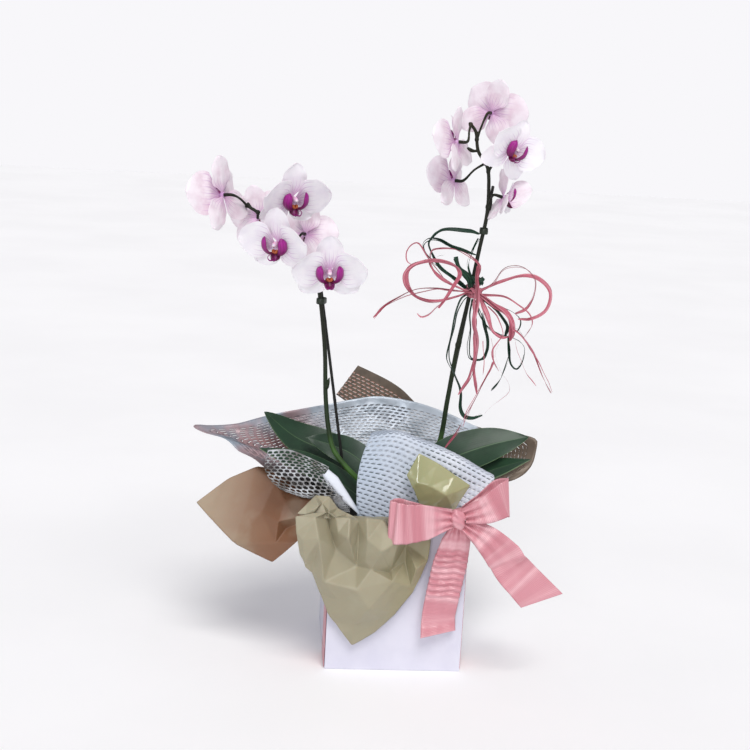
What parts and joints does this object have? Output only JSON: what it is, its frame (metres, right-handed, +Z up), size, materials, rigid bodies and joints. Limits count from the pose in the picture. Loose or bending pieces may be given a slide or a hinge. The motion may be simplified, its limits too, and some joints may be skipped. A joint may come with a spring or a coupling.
{
  "type": "potted orchid",
  "caption": "Flowering moth orchid in a grow pot, set in a square paperboard gift box with wrapping papers, a ribbon bow and a raffia bow.",
  "frame": {"origin": "centre of the gift box's underside", "axes": "+Z up, the box face under the ribbon bow looks along -Y, +X to that face's right"},
  "size_m": [0.3709, 0.2035, 0.5821],
  "materials": {
    "board": "matt white coated board",
    "dark_plastic": "thin moulded plastic, dull",
    "bark": "rough, damp bark chips",
    "crown": "smooth fleshy leaf bases",
    "leaf": "waxy, half glossy",
    "stem": "smooth living stem",
    "stake": "dark dyed stick, dull",
    "clip": "moulded plastic, half glossy",
    "petal": "velvety petal",
    "lip": "velvety, deep magenta",
    "tissue": "stiff floral paper with a soft sheen",
    "honeycomb": "die-cut expanded paper with a pearly face",
    "ribbon": "cross-ribbed ribbon with a satin sheen",
    "raffia_pink": "dyed raffia, dull",
    "raffia_green": "dyed raffia, dull"
  },
  "bodies": {
    "root": {"gift_box": "board", "grow_pot": "dark_plastic", "bark_mix": "bark", "crown": "crown", "leaf_left_back": "leaf", "leaf_left_middle": "leaf", "leaf_left_front": "leaf", "leaf_right_back": "leaf", "leaf_right_top": "leaf", "leaf_right_front": "leaf", "flower_spike_left": "stem", "stake_left": "stake", "flower_spike_right": "stem", "stake_right": "stake", "stem_clip_left": "clip", "stem_clip_right": "clip", "flower_left_1_tepals": "petal", "flower_left_1_lip": "lip", "flower_left_2_tepals": "petal", "flower_left_2_lip": "lip", "flower_left_3_tepals": "petal", "flower_left_3_lip": "lip", "flower_left_4_tepals": "petal", "flower_left_4_lip": "lip", "flower_left_5_tepals": "petal", "flower_left_5_lip": "lip", "flower_left_6_tepals": "petal", "flower_left_6_lip": "lip", "flower_right_1_tepals": "petal", "flower_right_1_lip": "lip", "flower_right_2_tepals": "petal", "flower_right_2_lip": "lip", "flower_right_3_tepals": "petal", "flower_right_3_lip": "lip", "flower_right_4_tepals": "petal", "flower_right_4_lip": "lip", "flower_right_5_tepals": "petal", "flower_right_5_lip": "lip", "tissue_front": "tissue", "tissue_left": "tissue", "tissue_upright": "tissue", "honeycomb_back": "honeycomb", "honeycomb_flap": "honeycomb", "honeycomb_curl": "honeycomb", "ribbon_knot": "ribbon", "ribbon_loop_left": "ribbon", "ribbon_loop_right": "ribbon", "ribbon_tail_front": "ribbon", "ribbon_tail_right": "ribbon", "ribbon_band_left": "ribbon", "ribbon_band_right": "ribbon", "raffia_pink": "raffia_pink", "raffia_green": "raffia_green"}
  },
  "joints": []
}
